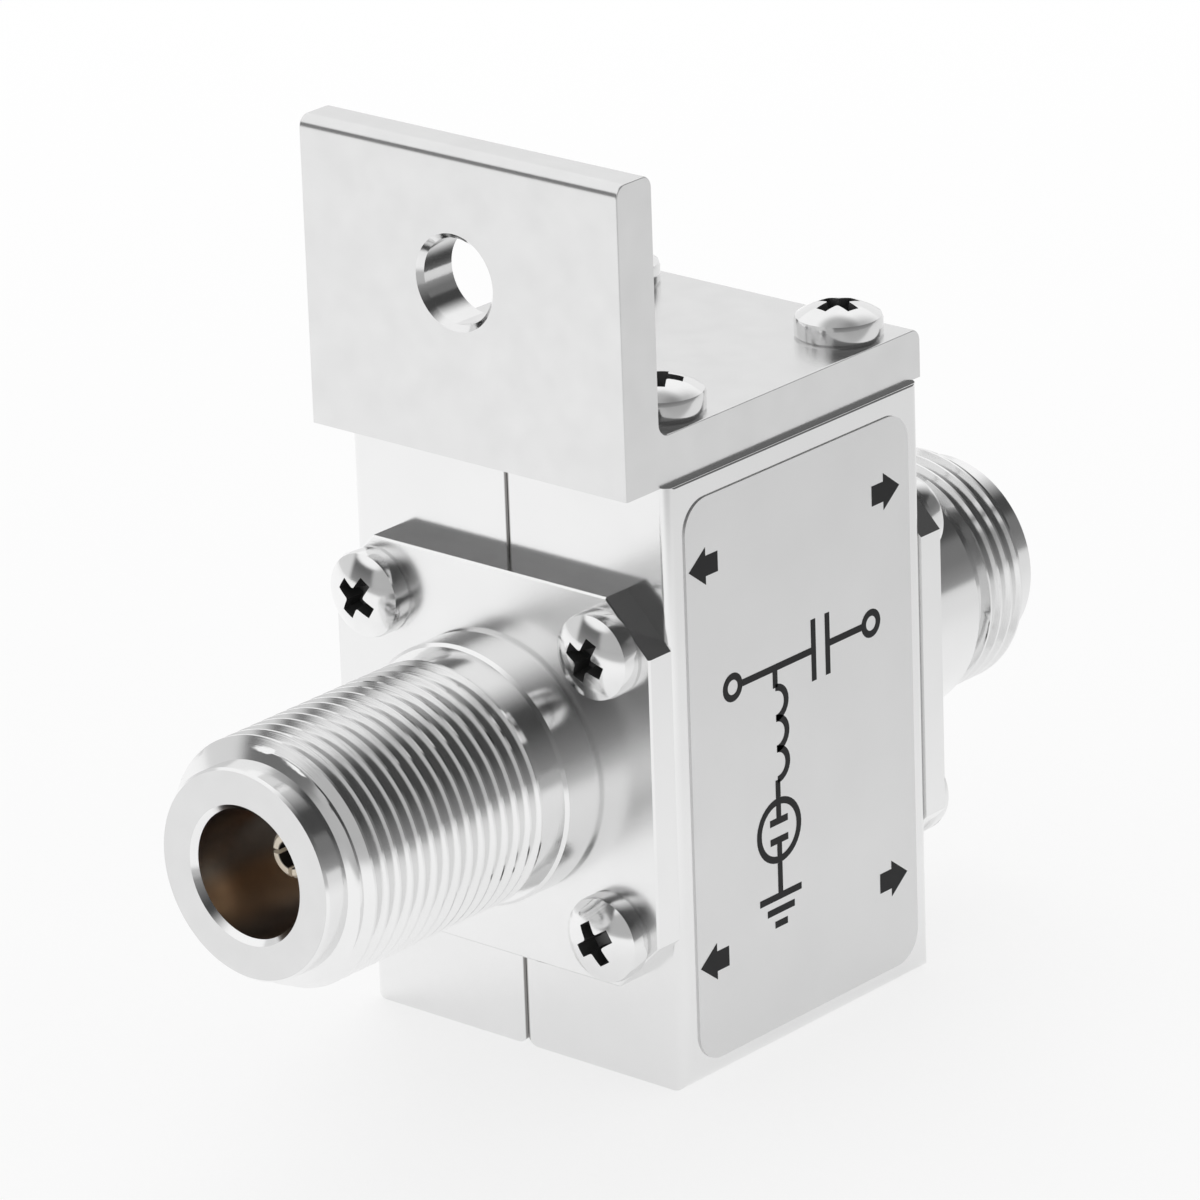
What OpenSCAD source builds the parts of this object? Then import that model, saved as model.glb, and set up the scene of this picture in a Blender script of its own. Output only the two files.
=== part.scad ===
// Coaxial lightning arrestor. Two threaded jacks are screwed to the ends of a
// split metal block, which holds a series capacitor, a choke coil and a gas
// discharge tube. An angle bracket on top fixes it to a bulkhead or ground bar.
// Millimetres. +X is the labelled side, +Y runs from the antenna jack to the
// equipment jack, and +Z is up. The origin is under the middle of the length.

/* [Block] */
// Width across both halves of the block
body_w = 25.4; // [25.2:0.1:32]
// Depth of the block between the two jack flanges
body_d = 24; // [23.5:0.5:34]
// Height of the block
body_h = 39; // [38:0.5:50]
// Radius of the upright outer edges
edge_r = 0.7; // [0.3:0.1:1.3]
// Radius of the lower outer edges
foot_r = 1; // [0.4:0.1:1.3]
// Radius of the upright edges along the seam between the halves
seam_r = 0.15; // [0.1:0.05:0.6]
// Radius of the lower edges along the seam, which leaves a small notch
seam_foot_r = 0.8; // [0.3:0.1:1.5]
// Thickness of the block's end walls, outside the chamber
end_wall = 4; // [3.5:0.25:5]
// Diameter of the chamber round the centre conductor
chamber_d = 16; // [13.5:0.5:18]
// Height of the jack axis above the bottom face
axis_h = 19.5; // [18.5:0.25:24]

/* [Jacks] */
// Major diameter of the coupling thread
thread_d = 15.875; // [15:0.125:16.5]
// Barrel length of the antenna jack, from flange face to nose
front_barrel = 22.4; // [19:0.2:30]
// Barrel length of the equipment jack, from flange face to nose
rear_barrel = 16.75; // [16:0.05:30]
// Side of the square flange
flange_size = 25.2; // [24.6:0.1:26]
// Thickness of the flange
flange_t = 2; // [1.6:0.1:3]
// Leg of the chamfer on each flange corner
flange_corner = 3.3; // [1:0.1:3.6]
// Distance from the flange's edge to the axis of a flange screw
hole_margin = 3.47; // [3.2:0.01:3.8]
// Diameter of the plain collars next to the flanges
collar_d = 16.7; // [16:0.1:18]
// Width of the antenna jack's plain collar
front_collar_w = 3; // [1:0.1:4]
// Width of the equipment jack's plain collar
rear_collar_w = 9.25; // [4:0.05:9.5]
// Diameter of the relief between collar and thread
relief_d = 14.5; // [14:0.1:15]
// Width of the relief
relief_w = 1.4; // [0.5:0.1:3]
// Diameter of the flat nose
nose_d = 12.8; // [11:0.1:14]
// Length of the chamfer behind the nose
nose_chamfer = 1.5; // [0.4:0.1:2]
// Diameter of the mouth that takes the plug
mouth_d = 8.1; // [7.6:0.05:8.6]
// Depth of the mouth
mouth_depth = 9.1; // [8:0.1:10]
// Chamfer on the rim of the mouth
mouth_chamfer = 0.5; // [0.2:0.1:0.7]
// Diameter of the throat behind the mouth
throat_d = 7; // [6:0.1:7.4]
// Length of the throat, up to the shoulder that stops the insulator
throat_l = 2.9; // [1.5:0.1:4]
// Diameter of the spigot that centres the jack in the block
spigot_d = 13; // [11.5:0.1:13.2]
// Length of the spigot
spigot_l = 3; // [2:0.25:3.4]

/* [Insulators and contacts] */
// Diameter of the insulator behind its shoulder
bead_d = 9.2; // [8:0.1:10.5]
// How far the insulator's face stands back from the end of the mouth
bead_setback = 0.2; // [0:0.1:1]
// Diameter of the socket contact
contact_d = 3.04; // [2.8:0.02:3.3]
// Depth of the contact's tip inside the mouth
contact_recess = 3.9; // [3.6:0.1:5.5]
// Bore of the socket contact
socket_d = 1.66; // [1.5:0.02:1.8]
// Depth of the socket bore
socket_depth = 6; // [4:0.25:7]
// Width of the slits that let the contact spring
slit_w = 0.3; // [0.2:0.05:0.4]
// Length of the slits
slit_l = 4.2; // [2:0.1:5]
// Chamfer on the contact's tip
tip_chamfer = 0.25; // [0.1:0.05:0.4]
// Length of the thick part of the contact inside the insulator's shoulder
contact_grip = 2; // [1:0.25:3]
// Diameter of the contact's stem
stem_d = 2.4; // [1.6:0.1:2.7]

/* [Capacitor] */
// Diameter of the capacitor plates
plate_d = 10; // [6:0.5:11]
// Thickness of each plate
plate_t = 0.8; // [0.4:0.1:1.5]
// Diameter of the dielectric disc
dielectric_d = 11.4; // [8:0.2:12.4]
// Thickness of the dielectric disc
dielectric_t = 1; // [0.3:0.1:2]
// Distance from the block's antenna end to the first plate
plate_from_front = 14.5; // [14:0.25:16]

/* [Gas tube and coil] */
// Diameter of the gas discharge tube
tube_d = 8; // [5:0.25:8.5]
// Height of the tube's ceramic ring
ceramic_h = 3.6; // [2.6:0.1:4.4]
// Wall of the ceramic ring
ceramic_wall = 1.1; // [0.7:0.1:1.5]
// Thickness of each electrode's rim
electrode_t = 1.2; // [0.6:0.1:1.6]
// Gap between the electrodes' inner faces
spark_gap = 1; // [0.4:0.1:1.6]
// Radial room round the tube in its pocket
pocket_gap = 0.3; // [0.1:0.05:0.6]
// Thickness of the block under the pocket
pocket_floor = 4; // [2:0.25:5]
// Distance from the block's antenna end to the tube's centre
tube_from_front = 9; // [8.5:0.25:9.5]
// Thickness of the disc spring's metal
spring_t = 0.3; // [0.2:0.05:0.4]
// Height of the disc spring
spring_h = 0.6; // [0.45:0.05:1]
// Bore of the disc spring
spring_bore = 3.4; // [2:0.2:3.6]
// Diameter of the choke coil at the middle of the wire
coil_d = 3.8; // [3:0.1:5]
// Diameter of the coil's wire
wire_d = 0.8; // [0.4:0.05:1]
// Turns of the coil
coil_turns = 5; // [3:1:6]

/* [Bracket] */
// Width of the bracket
bracket_w = 25; // [24:0.1:26]
// How far the bracket sits off the seam
bracket_shift = -0.3; // [-0.6:0.1:0.6]
// Thickness of both legs
bracket_t = 3.175; // [2:0.025:3.5]
// How far the bracket stands out over the antenna jack
front_overhang = 3.1; // [2.4:0.1:5]
// How far the bracket stands out over the equipment jack
rear_overhang = 0.8; // [0:0.1:3]
// Height of the upright leg above the block
leg_rise = 19.5; // [17:0.1:30]
// Radius inside the bend
bend_r = 0.8; // [0.2:0.1:1]
// Radius of the bracket's edges
bracket_edge_r = 0.5; // [0.1:0.05:0.6]
// Radius of the bracket's lower edges at the sides
bracket_foot_r = 0.1; // [0.05:0.05:0.4]
// Radius of the top corners of the leg and the rear corners of the base
bracket_corner_r = 0.9; // [0.3:0.1:3]
// Diameter of the mounting hole
mount_hole_d = 5.4; // [4:0.1:7]
// Chamfer on both rims of the mounting hole
mount_hole_chamfer = 0.35; // [0.1:0.05:0.5]
// Height of the mounting hole above the block
mount_hole_rise = 11.2; // [10:0.1:13]
// How far the mounting hole sits off the bracket's middle
mount_hole_shift = -0.45; // [-2:0.05:2]

/* [Screws] */
// Diameter of the screws' shanks
screw_d = 2.85; // [2:0.05:3]
// Diameter of the pan heads
head_d = 5.5; // [4.4:0.1:5.8]
// Height of the pan heads
head_h = 2.1; // [1.8:0.1:2.4]
// Height of the straight side of the pan heads
head_side = 1.5; // [0.6:0.1:1.7]
// How far the flange screws reach into the block
flange_bite = 6; // [4:0.25:7]
// How far the bracket screws reach into the block
bracket_bite = 7; // [4:0.25:8]
// Distance across the seam between the bracket screws
bracket_screw_pitch = 17.8; // [16:0.1:18]
// Distance from the block's antenna end to the first pair of bracket screws
bracket_screw_front = 4.1; // [4:0.1:6]
// Distance from the block's equipment end to the second pair
bracket_screw_rear = 3; // [2.8:0.1:6]
// Width of the cross recess
recess_w = 0.85; // [0.4:0.05:0.9]
// Length of the cross recess
recess_l = 3.2; // [2:0.1:3.4]
// Depth of the cross recess
recess_depth = 1.2; // [0.6:0.05:1.25]

/* [Label] */
// Bare margin of the block's side round the label
label_margin = 1.35; // [1.3:0.05:6]
// Corner radius of the label
label_r = 2; // [1:0.25:5]
// Thickness of the label
label_t = 0.12; // [0.05:0.01:0.3]

/* [Fits] */
// Radial clearance of pieces that slide into each other
slip = 0.05; // [0.02:0.01:0.1]
// Radial clearance of the screws in the flanges
flange_play = 0.2; // [0.1:0.05:0.3]
// Radial clearance of the screws in the bracket
bracket_play = 0.4; // [0.1:0.05:0.5]
// Room between the coil's ends and what it is soldered to
solder_gap = 0.04; // [0.02:0.01:0.1]

/* [Hidden] */
$fn = 96;
eps = 1;
overall_l = front_barrel + rear_barrel + 2 * flange_t + body_d;
front_nose_y = -overall_l / 2;
rear_nose_y = overall_l / 2;
body_y0 = front_nose_y + front_barrel + flange_t;
body_y1 = body_y0 + body_d;
hole_pitch = flange_size - 2 * hole_margin;
plate_y = body_y0 + plate_from_front;
tube_y = body_y0 + tube_from_front;
shoulder_u = mouth_depth + throat_l;
stem_u = shoulder_u + contact_grip;
pocket_d = tube_d + 2 * pocket_gap;
tube_z = pocket_floor + spring_h;
tube_top_z = tube_z + 2 * electrode_t + ceramic_h;
boss_h = (ceramic_h - spark_gap) / 2;
bracket_y0 = body_y0 - front_overhang;
bracket_d = front_overhang + body_d + rear_overhang;
mount_hole_z = body_h + mount_hole_rise;
label_l = body_d - 2 * label_margin;
label_h = body_h - 2 * label_margin;

// Frames: each jack is drawn from its nose, with its axis along the local +Z
module at_front() translate([0, front_nose_y, axis_h]) rotate([-90, 0, 0]) children();
module at_rear() translate([0, rear_nose_y, axis_h]) rotate([90, 0, 0]) children();
module at_plate(offset_y) translate([0, plate_y + offset_y, axis_h]) rotate([-90, 0, 0]) children();

// Repeats its children at the four flange screw places
module at_flange_holes() {
  for (x = [-1, 1], y = [-1, 1])
    translate([x * hole_pitch / 2, y * hole_pitch / 2, 0]) children();
}

// Repeats its children at the four bracket screw places, at the block's top
module at_bracket_holes() {
  for (x = [-1, 1], y = [body_y0 + bracket_screw_front, body_y1 - bracket_screw_rear])
    translate([x * bracket_screw_pitch / 2, y, body_h]) children();
}

// What is cut off a square corner at the origin to round it, inside towards +X and +Y
module corner_cut(r) {
  difference() {
    translate([-eps, -eps]) square(r + eps);
    translate([r, r]) circle(r);
  }
}

// Rectangle with a radius for each corner, from low left and on round
module soft_rect(w, h, radii) {
  difference() {
    square([w, h]);
    corner_cut(radii[0]);
    translate([w, 0]) rotate(90) corner_cut(radii[1]);
    translate([w, h]) rotate(180) corner_cut(radii[2]);
    translate([0, h]) rotate(270) corner_cut(radii[3]);
  }
}

// Outside of one half of the block, on the +X side of the seam
module half_block() {
  half_w = body_w / 2;
  intersection() {
    translate([0, body_y0, 0]) linear_extrude(body_h)
      soft_rect(half_w, body_d, [seam_r, edge_r, edge_r, seam_r]);
    translate([0, body_y1, 0]) rotate([90, 0, 0]) linear_extrude(body_d)
      soft_rect(half_w, body_h, [seam_foot_r, foot_r, seam_r, seam_r]);
  }
}

// Hollows of the block: chamber, spigot bores, tube pocket and screw holes
module block_hollows() {
  chamber_l = body_d - 2 * end_wall;
  at_front() translate([0, 0, front_barrel + flange_t + end_wall]) cylinder(h = chamber_l, d = chamber_d);
  at_front() translate([0, 0, front_barrel + flange_t - eps])
    cylinder(h = body_d + 2 * eps, d = spigot_d + 2 * slip);
  translate([0, tube_y, pocket_floor]) cylinder(h = axis_h - pocket_floor, d = pocket_d);
  at_front() at_flange_holes() translate([0, 0, front_barrel + flange_t - eps]) screw_hole(flange_bite);
  at_rear() at_flange_holes() translate([0, 0, rear_barrel + flange_t - eps]) screw_hole(flange_bite);
  at_bracket_holes() translate([0, 0, eps]) mirror([0, 0, 1]) screw_hole(bracket_bite);
}

// Hole for one screw's shank, from the local origin along +Z
module screw_hole(bite) cylinder(h = bite + eps + flange_play, d = screw_d + 2 * slip);

module right_housing() {
  color("gainsboro") difference() {
    half_block();
    block_hollows();
  }
}

module left_housing() {
  color("gainsboro") difference() {
    mirror([1, 0, 0]) half_block();
    block_hollows();
  }
}

// L section of the bracket, with the outer corner at the origin
module bracket_section() {
  difference() {
    union() {
      soft_rect(bracket_d, bracket_t, [bracket_edge_r, bracket_edge_r, bracket_edge_r, 0.01]);
      soft_rect(bracket_t, leg_rise, [bracket_edge_r, 0.01, bracket_edge_r, bracket_edge_r]);
      translate([bracket_t, bracket_t]) square(bend_r);
    }
    translate([bracket_t + bend_r, bracket_t + bend_r]) circle(bend_r);
  }
}

// The angle before it is drilled: its section, its plan and its front view in common
module bracket_blank() {
  intersection() {
    rotate([90, 0, 90]) linear_extrude(bracket_w) bracket_section();
    linear_extrude(leg_rise)
      soft_rect(bracket_w, bracket_d, [bracket_edge_r, bracket_edge_r, bracket_corner_r, bracket_corner_r]);
    translate([0, bracket_d, 0]) rotate([90, 0, 0]) linear_extrude(bracket_d)
      soft_rect(bracket_w, leg_rise, [bracket_foot_r, bracket_foot_r, bracket_corner_r, bracket_corner_r]);
  }
}

module angle_bracket() {
  color("silver") difference() {
    translate([bracket_shift - bracket_w / 2, bracket_y0, body_h]) bracket_blank();
    translate([bracket_shift + mount_hole_shift, bracket_y0, mount_hole_z]) rotate([-90, 0, 0]) mount_hole();
    at_bracket_holes() translate([0, 0, -eps])
      cylinder(h = bracket_t + 2 * eps, d = screw_d + 2 * bracket_play);
  }
}

// Mounting hole with its two chamfered rims
module mount_hole() {
  rim_d = mount_hole_d + 2 * mount_hole_chamfer;
  translate([0, 0, -eps]) cylinder(h = bracket_t + 2 * eps, d = mount_hole_d);
  cylinder(h = mount_hole_chamfer, d1 = rim_d, d2 = mount_hole_d);
  translate([0, 0, bracket_t - mount_hole_chamfer])
    cylinder(h = mount_hole_chamfer, d1 = mount_hole_d, d2 = rim_d);
}

// Pan head screw, seated on the local XY plane with its shank along -Z
module pan_screw(shank) {
  rise = head_h - head_side;
  dome_r = (pow(head_d / 2, 2) + pow(rise, 2)) / (2 * rise);
  difference() {
    union() {
      rotate_extrude() intersection() {
        square([head_d / 2, head_h]);
        translate([0, head_h - dome_r]) circle(dome_r, $fn = 180);
      }
      translate([0, 0, -shank]) cylinder(h = shank + head_side, d = screw_d);
    }
    for (turn = [0, 90])
      rotate(turn) translate([-recess_l / 2, -recess_w / 2, head_h - recess_depth])
        cube([recess_l, recess_w, recess_depth + eps]);
  }
}

module bracket_screws() {
  color("lightgray") at_bracket_holes()
    translate([0, 0, bracket_t]) pan_screw(bracket_t + bracket_bite);
}

// Four flange screws of one jack, in that jack's frame
module flange_screws(barrel) {
  at_flange_holes() translate([0, 0, barrel]) mirror([0, 0, 1]) pan_screw(flange_t + flange_bite);
}

module front_flange_screws() color("lightgray") at_front() flange_screws(front_barrel);
module rear_flange_screws() color("lightgray") at_rear() flange_screws(rear_barrel);

// Square flange with chamfered corners, four screw holes and room for the spigot
module flange_plate() {
  half = flange_size / 2;
  inner = half - flange_corner;
  linear_extrude(flange_t) difference() {
    polygon([[inner, -half], [half, -inner], [half, inner], [inner, half],
      [-inner, half], [-half, inner], [-half, -inner], [-inner, -half]]);
    circle(d = bead_d);
    at_flange_holes() circle(d = screw_d + 2 * flange_play);
  }
}

// Turned jack: nose, plain cylinder over the thread's crests, relief, collar and spigot
module jack(barrel, collar_w) {
  collar_u = barrel - collar_w;
  relief_u = collar_u - relief_w;
  spigot_u = barrel + flange_t + spigot_l;
  rotate_extrude() polygon([
    [mouth_d / 2 + mouth_chamfer, 0], [nose_d / 2, 0], [thread_d / 2, nose_chamfer],
    [thread_d / 2, relief_u], [relief_d / 2, relief_u], [relief_d / 2, collar_u],
    [collar_d / 2, collar_u], [collar_d / 2, barrel], [spigot_d / 2, barrel],
    [spigot_d / 2, spigot_u], [bead_d / 2, spigot_u], [bead_d / 2, shoulder_u],
    [throat_d / 2, shoulder_u], [throat_d / 2, mouth_depth], [mouth_d / 2, mouth_depth],
    [mouth_d / 2, mouth_chamfer]]);
  translate([0, 0, barrel]) flange_plate();
}

module front_jack() color("gainsboro") at_front() jack(front_barrel, front_collar_w);
module rear_jack() color("gainsboro") at_rear() jack(rear_barrel, rear_collar_w);

// Stepped insulator, stopped by the jack's shoulder
module insulator(barrel) {
  face_u = mouth_depth + bead_setback;
  end_u = barrel + flange_t + spigot_l;
  rotate_extrude() polygon([
    [contact_d / 2 + slip, face_u], [throat_d / 2 - slip, face_u],
    [throat_d / 2 - slip, shoulder_u], [bead_d / 2 - slip, shoulder_u],
    [bead_d / 2 - slip, end_u], [stem_d / 2 + slip, end_u],
    [stem_d / 2 + slip, stem_u], [contact_d / 2 + slip, stem_u]]);
}

module front_insulator() color("white") at_front() insulator(front_barrel);
module rear_insulator() color("white") at_rear() insulator(rear_barrel);

// Socket contact with a slit tip and a stem that runs to the capacitor plate
module contact(stem_end_u) {
  bore_end = contact_recess + socket_depth;
  difference() {
    rotate_extrude() polygon([
      [socket_d / 2, contact_recess], [contact_d / 2 - tip_chamfer, contact_recess],
      [contact_d / 2, contact_recess + tip_chamfer], [contact_d / 2, stem_u],
      [stem_d / 2, stem_u], [stem_d / 2, stem_end_u], [0, stem_end_u],
      [0, bore_end], [socket_d / 2, bore_end]]);
    for (turn = [0, 90])
      rotate(turn) translate([-contact_d, -slit_w / 2, contact_recess - eps])
        cube([2 * contact_d, slit_w, slit_l + eps]);
  }
}

module front_contact() color("goldenrod") at_front() contact(plate_y - front_nose_y);
module rear_contact() color("goldenrod") at_rear()
  contact(rear_nose_y - plate_y - 2 * plate_t - dielectric_t);

module capacitor_front_plate() color("khaki") at_plate(0) cylinder(h = plate_t, d = plate_d);
module capacitor_dielectric() color("ivory") at_plate(plate_t) cylinder(h = dielectric_t, d = dielectric_d);
module capacitor_rear_plate() color("khaki") at_plate(plate_t + dielectric_t)
  cylinder(h = plate_t, d = plate_d);

// Point on the coil's wire at a share t of its run, counted from the tube upwards
coil_z0 = tube_top_z + wire_d / 2 + solder_gap;
coil_z1 = axis_h - stem_d / 2 - wire_d / 2 - solder_gap;
function coil_angle(t) = 90 + 360 * coil_turns * t;
function coil_point(t, turn) =
  let (r = coil_d / 2 + wire_d / 2 * cos(turn))
  [r * cos(coil_angle(t)), r * sin(coil_angle(t)),
    coil_z0 + (coil_z1 - coil_z0) * t + wire_d / 2 * sin(turn)];

// Open wire coil, swept as rings of wire_sides points
module choke_coil() {
  wire_sides = 8;
  rings = coil_turns * 14;
  last = rings * wire_sides;
  points = [for (i = [0:rings], k = [0:wire_sides - 1]) coil_point(i / rings, 360 * k / wire_sides)];
  sides = [for (i = [0:rings - 1], k = [0:wire_sides - 1])
    let (a = i * wire_sides, k2 = (k + 1) % wire_sides)
    [a + k, a + k2, a + wire_sides + k2, a + wire_sides + k]];
  ends = [[for (k = [wire_sides - 1:-1:0]) k], [for (k = [0:wire_sides - 1]) last + k]];
  color("chocolate") translate([0, tube_y, 0]) polyhedron(points, concat(sides, ends), convexity = 8);
}

// Electrode: a rim as wide as the tube and a boss that faces the spark gap, along +Z
module electrode() {
  boss_d = tube_d - 2 * ceramic_wall - 4 * slip;
  cylinder(h = electrode_t, d = tube_d);
  translate([0, 0, electrode_t]) cylinder(h = boss_h, d = boss_d);
}

module gas_tube_bottom_electrode() color("darkgray") translate([0, tube_y, tube_z]) electrode();
module gas_tube_top_electrode() color("darkgray")
  translate([0, tube_y, tube_top_z]) mirror([0, 0, 1]) electrode();

module gas_tube_ceramic() {
  color("mistyrose") translate([0, tube_y, tube_z + electrode_t]) difference() {
    cylinder(h = ceramic_h, d = tube_d);
    translate([0, 0, -eps]) cylinder(h = ceramic_h + 2 * eps, d = tube_d - 2 * ceramic_wall);
  }
}

// Disc spring that presses the tube up against the coil
module gas_tube_spring() {
  rim_r = tube_d / 2 - pocket_gap;
  color("peru") translate([0, tube_y, pocket_floor]) rotate_extrude() polygon([
    [rim_r, 0], [rim_r, spring_t], [spring_bore / 2, spring_h], [spring_bore / 2, spring_h - spring_t]]);
}

module side_label() {
  color("whitesmoke") translate([body_w / 2, (body_y0 + body_y1 - label_l) / 2, (body_h - label_h) / 2])
    rotate([90, 0, 90]) linear_extrude(label_t)
      soft_rect(label_l, label_h, [label_r, label_r, label_r, label_r]);
}

left_housing();
right_housing();
angle_bracket();
bracket_screws();
front_jack();
rear_jack();
front_flange_screws();
rear_flange_screws();
front_insulator();
rear_insulator();
front_contact();
rear_contact();
capacitor_front_plate();
capacitor_dielectric();
capacitor_rear_plate();
choke_coil();
gas_tube_top_electrode();
gas_tube_ceramic();
gas_tube_bottom_electrode();
gas_tube_spring();
side_label();
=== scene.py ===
import math

import bmesh
import bpy
from mathutils import Matrix, Vector


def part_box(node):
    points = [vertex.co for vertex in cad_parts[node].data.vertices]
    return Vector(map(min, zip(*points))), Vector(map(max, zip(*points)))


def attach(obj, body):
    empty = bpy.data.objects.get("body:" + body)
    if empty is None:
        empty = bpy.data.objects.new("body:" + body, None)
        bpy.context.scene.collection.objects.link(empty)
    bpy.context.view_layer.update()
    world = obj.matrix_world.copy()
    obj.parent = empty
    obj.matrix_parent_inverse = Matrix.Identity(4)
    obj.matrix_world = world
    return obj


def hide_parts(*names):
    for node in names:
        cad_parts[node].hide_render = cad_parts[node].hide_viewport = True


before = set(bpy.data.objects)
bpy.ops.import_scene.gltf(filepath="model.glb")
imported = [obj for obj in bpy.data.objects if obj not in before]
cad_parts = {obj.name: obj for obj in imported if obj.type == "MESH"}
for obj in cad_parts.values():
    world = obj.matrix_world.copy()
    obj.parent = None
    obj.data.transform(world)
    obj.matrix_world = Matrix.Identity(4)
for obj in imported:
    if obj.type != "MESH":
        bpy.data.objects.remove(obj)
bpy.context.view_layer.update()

# The gas tube and its choke coil, which lie in a pocket of the block.
# A ceramic ring is brazed between two tinned electrodes, the coil is wound of enamelled copper wire,
# and a bronze disc spring in the pocket presses the tube up against the coil.
MM = 0.001


def make_surface_play():
    """Group: how a finish changes over a surface, by a slow cloud and a fine grain."""
    group = bpy.data.node_groups.new("surface_play", "ShaderNodeTree")
    inputs = (("Colour", "NodeSocketColor"), ("Cloud size", "NodeSocketFloat"), ("Cloud depth", "NodeSocketFloat"),
              ("Roughness", "NodeSocketFloat"), ("Roughness spread", "NodeSocketFloat"),
              ("Grain size", "NodeSocketFloat"))
    for name, kind in inputs:
        group.interface.new_socket(name, in_out="INPUT", socket_type=kind)
    for name, kind in (("Colour", "NodeSocketColor"), ("Roughness", "NodeSocketFloat"), ("Grain", "NodeSocketFloat")):
        group.interface.new_socket(name, in_out="OUTPUT", socket_type=kind)
    given = group.nodes.new("NodeGroupInput")
    result = group.nodes.new("NodeGroupOutput")
    place = group.nodes.new("ShaderNodeTexCoord")

    def noise_of(size_name, detail):
        """Noise whose patches are about as wide as that input says, in metres."""
        scale = group.nodes.new("ShaderNodeMath")
        scale.operation = "DIVIDE"
        scale.inputs[0].default_value = 1
        group.links.new(given.outputs[size_name], scale.inputs[1])
        noise = group.nodes.new("ShaderNodeTexNoise")
        noise.inputs["Detail"].default_value = detail
        group.links.new(place.outputs["Object"], noise.inputs["Vector"])
        group.links.new(scale.outputs[0], noise.inputs["Scale"])
        return noise.outputs["Fac"]

    cloud = noise_of("Cloud size", 3)
    tone = group.nodes.new("ShaderNodeMath")
    tone.operation = "MULTIPLY"
    group.links.new(cloud, tone.inputs[0])
    group.links.new(given.outputs["Cloud depth"], tone.inputs[1])
    kept = group.nodes.new("ShaderNodeMath")
    kept.operation = "SUBTRACT"
    kept.inputs[0].default_value = 1
    group.links.new(tone.outputs[0], kept.inputs[1])
    shade = group.nodes.new("ShaderNodeVectorMath")
    shade.operation = "SCALE"
    group.links.new(given.outputs["Colour"], shade.inputs[0])
    group.links.new(kept.outputs[0], shade.inputs["Scale"])
    group.links.new(shade.outputs[0], result.inputs["Colour"])

    rough = group.nodes.new("ShaderNodeMath")
    rough.operation = "MULTIPLY_ADD"
    group.links.new(cloud, rough.inputs[0])
    group.links.new(given.outputs["Roughness spread"], rough.inputs[1])
    group.links.new(given.outputs["Roughness"], rough.inputs[2])
    group.links.new(rough.outputs[0], result.inputs["Roughness"])
    group.links.new(noise_of("Grain size", 2), result.inputs["Grain"])
    return group


surface_play = make_surface_play()


def new_finish(name, colour, metallic, roughness, cloud=(4 * MM, 0.1), spread=0.05, grain=(0.2 * MM, 0.002 * MM)):
    """Material whose tone, gloss and relief follow surface_play.

    cloud is size and depth, grain is size and height.
    """
    finish = bpy.data.materials.new(name)
    finish.use_nodes = True
    tree = finish.node_tree
    shader = tree.nodes["Principled BSDF"]
    shader.inputs["Metallic"].default_value = metallic
    play = tree.nodes.new("ShaderNodeGroup")
    play.node_tree = surface_play
    play.inputs["Colour"].default_value = (*colour, 1)
    play.inputs["Cloud size"].default_value = cloud[0]
    play.inputs["Cloud depth"].default_value = cloud[1]
    play.inputs["Roughness"].default_value = roughness - spread / 2
    play.inputs["Roughness spread"].default_value = spread
    play.inputs["Grain size"].default_value = grain[0]
    relief = tree.nodes.new("ShaderNodeBump")
    relief.inputs["Strength"].default_value = 1
    relief.inputs["Distance"].default_value = grain[1]
    tree.links.new(play.outputs["Colour"], shader.inputs["Base Color"])
    tree.links.new(play.outputs["Roughness"], shader.inputs["Roughness"])
    tree.links.new(play.outputs["Grain"], relief.inputs["Height"])
    tree.links.new(relief.outputs["Normal"], shader.inputs["Normal"])
    return finish


def dress(finish, *names):
    """Gives CAD nodes whose shape is right their finish."""
    for name in names:
        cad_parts[name].material_slots[0].material = finish


tinned = new_finish("tinned_electrode", (0.62, 0.62, 0.60), 1, 0.32)
dress(tinned, "gas_tube_top_electrode", "gas_tube_bottom_electrode")
dress(new_finish("alumina", (0.86, 0.78, 0.74), 0, 0.55, cloud=(1.5 * MM, 0.06)), "gas_tube_ceramic")
dress(new_finish("enamelled_copper", (0.72, 0.30, 0.12), 1, 0.25, cloud=(1 * MM, 0.2)), "choke_coil")
dress(new_finish("spring_bronze", (0.72, 0.50, 0.28), 1, 0.3, cloud=(2 * MM, 0.15)), "gas_tube_spring")

# The line through the block: a series capacitor of two brass plates and a ceramic disc,
# and a gold-plated socket contact each side of it, whose slit tip springs on the plug's pin.
# Each contact sits in a turned fluoropolymer insulator.
# Deep inside the contact's bore, within this radius of its axis, the gold is painted near black: painted shade in the
# hole.
CONTACT_BORE_R = 0.85 * MM
CONTACT_BORE_FADE = 0.1 * MM
CONTACT_BORE_SHADE_TONE = (0.02, 0.017, 0.015)


def tint(finish, mask, colour):
    """Turns a finish towards another colour where a mask is high."""
    tree = finish.node_tree
    base = tree.nodes["Principled BSDF"].inputs["Base Color"]
    blend = tree.nodes.new("ShaderNodeMix")
    blend.data_type = "RGBA"
    blend.inputs["B"].default_value = (*colour, 1)
    tree.links.new(mask, blend.inputs["Factor"])
    tree.links.new(base.links[0].from_socket, blend.inputs["A"])
    tree.links.new(blend.outputs["Result"], base)


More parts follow.
